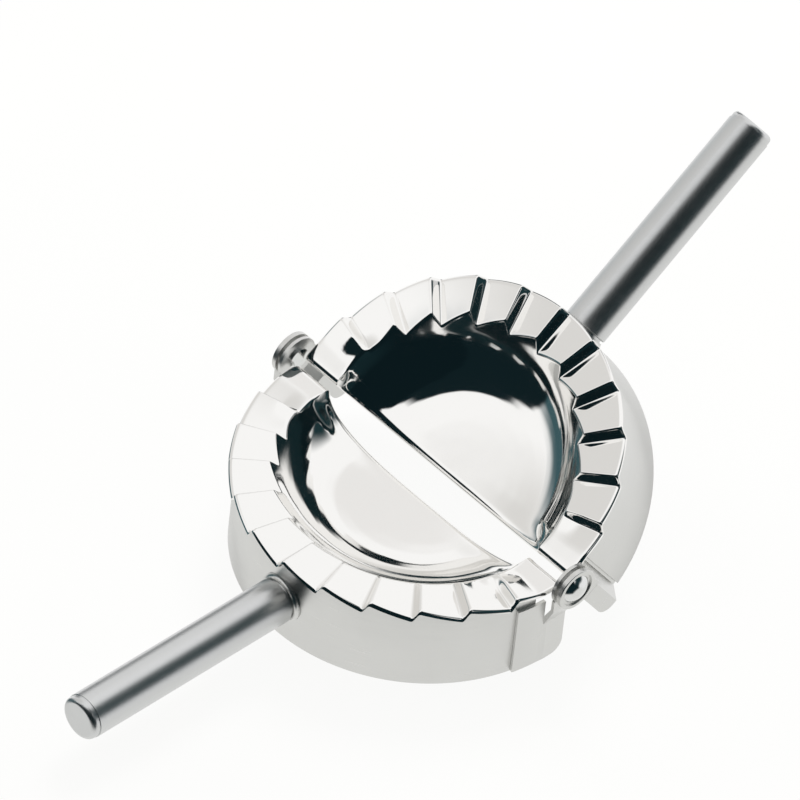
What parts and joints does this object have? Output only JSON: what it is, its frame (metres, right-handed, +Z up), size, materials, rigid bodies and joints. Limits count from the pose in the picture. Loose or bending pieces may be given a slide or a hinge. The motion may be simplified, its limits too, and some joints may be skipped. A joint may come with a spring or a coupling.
{
  "type": "empanada press",
  "caption": "Hinged dough press with two pleated half-round form plates over deep bowls, each half carried by a straight tube handle.",
  "frame": {"origin": "on the table, in the plane of symmetry between the rivets, midway between the far ends of the two handles as shown; the hinge axis stands 7.07 mm from it towards +X", "axes": "+Z up; the base half and its handle lie towards -X, the swung half rises towards +X, and the hinge line runs along Y"},
  "size_m": [0.2752, 0.1338, 0.1086],
  "materials": {
    "polished_sheet": "mirror polished stainless steel",
    "satin_sheet": "satin stainless steel",
    "brushed_tube": "brushed stainless steel",
    "bright_hardware": "bright stainless steel"
  },
  "bodies": {
    "base_half": {"base_form_plate": "polished_sheet", "base_skirt": "satin_sheet", "base_near_lug": "satin_sheet", "base_far_lug": "satin_sheet", "base_handle_boss": "satin_sheet", "base_handle_plug": "satin_sheet", "base_handle_screw": "bright_hardware", "base_handle_tube": "brushed_tube", "base_end_cap": "brushed_tube", "near_rivet": "bright_hardware", "far_rivet": "bright_hardware", "near_washer": "bright_hardware", "far_washer": "bright_hardware"},
    "swing_half": {"swing_form_plate": "polished_sheet", "swing_skirt": "satin_sheet", "swing_near_lug": "satin_sheet", "swing_far_lug": "satin_sheet", "swing_handle_boss": "satin_sheet", "swing_handle_plug": "satin_sheet", "swing_handle_screw": "bright_hardware", "swing_handle_tube": "brushed_tube", "swing_end_cap": "brushed_tube"}
  },
  "joints": [
    {"name": "hinge", "type": "hinge", "parent": "base_half", "child": "swing_half", "pos_m": [0.00707, 0, 0.0321], "axis": [0, -1, 0], "range_deg": [-36, 144]}
  ]
}
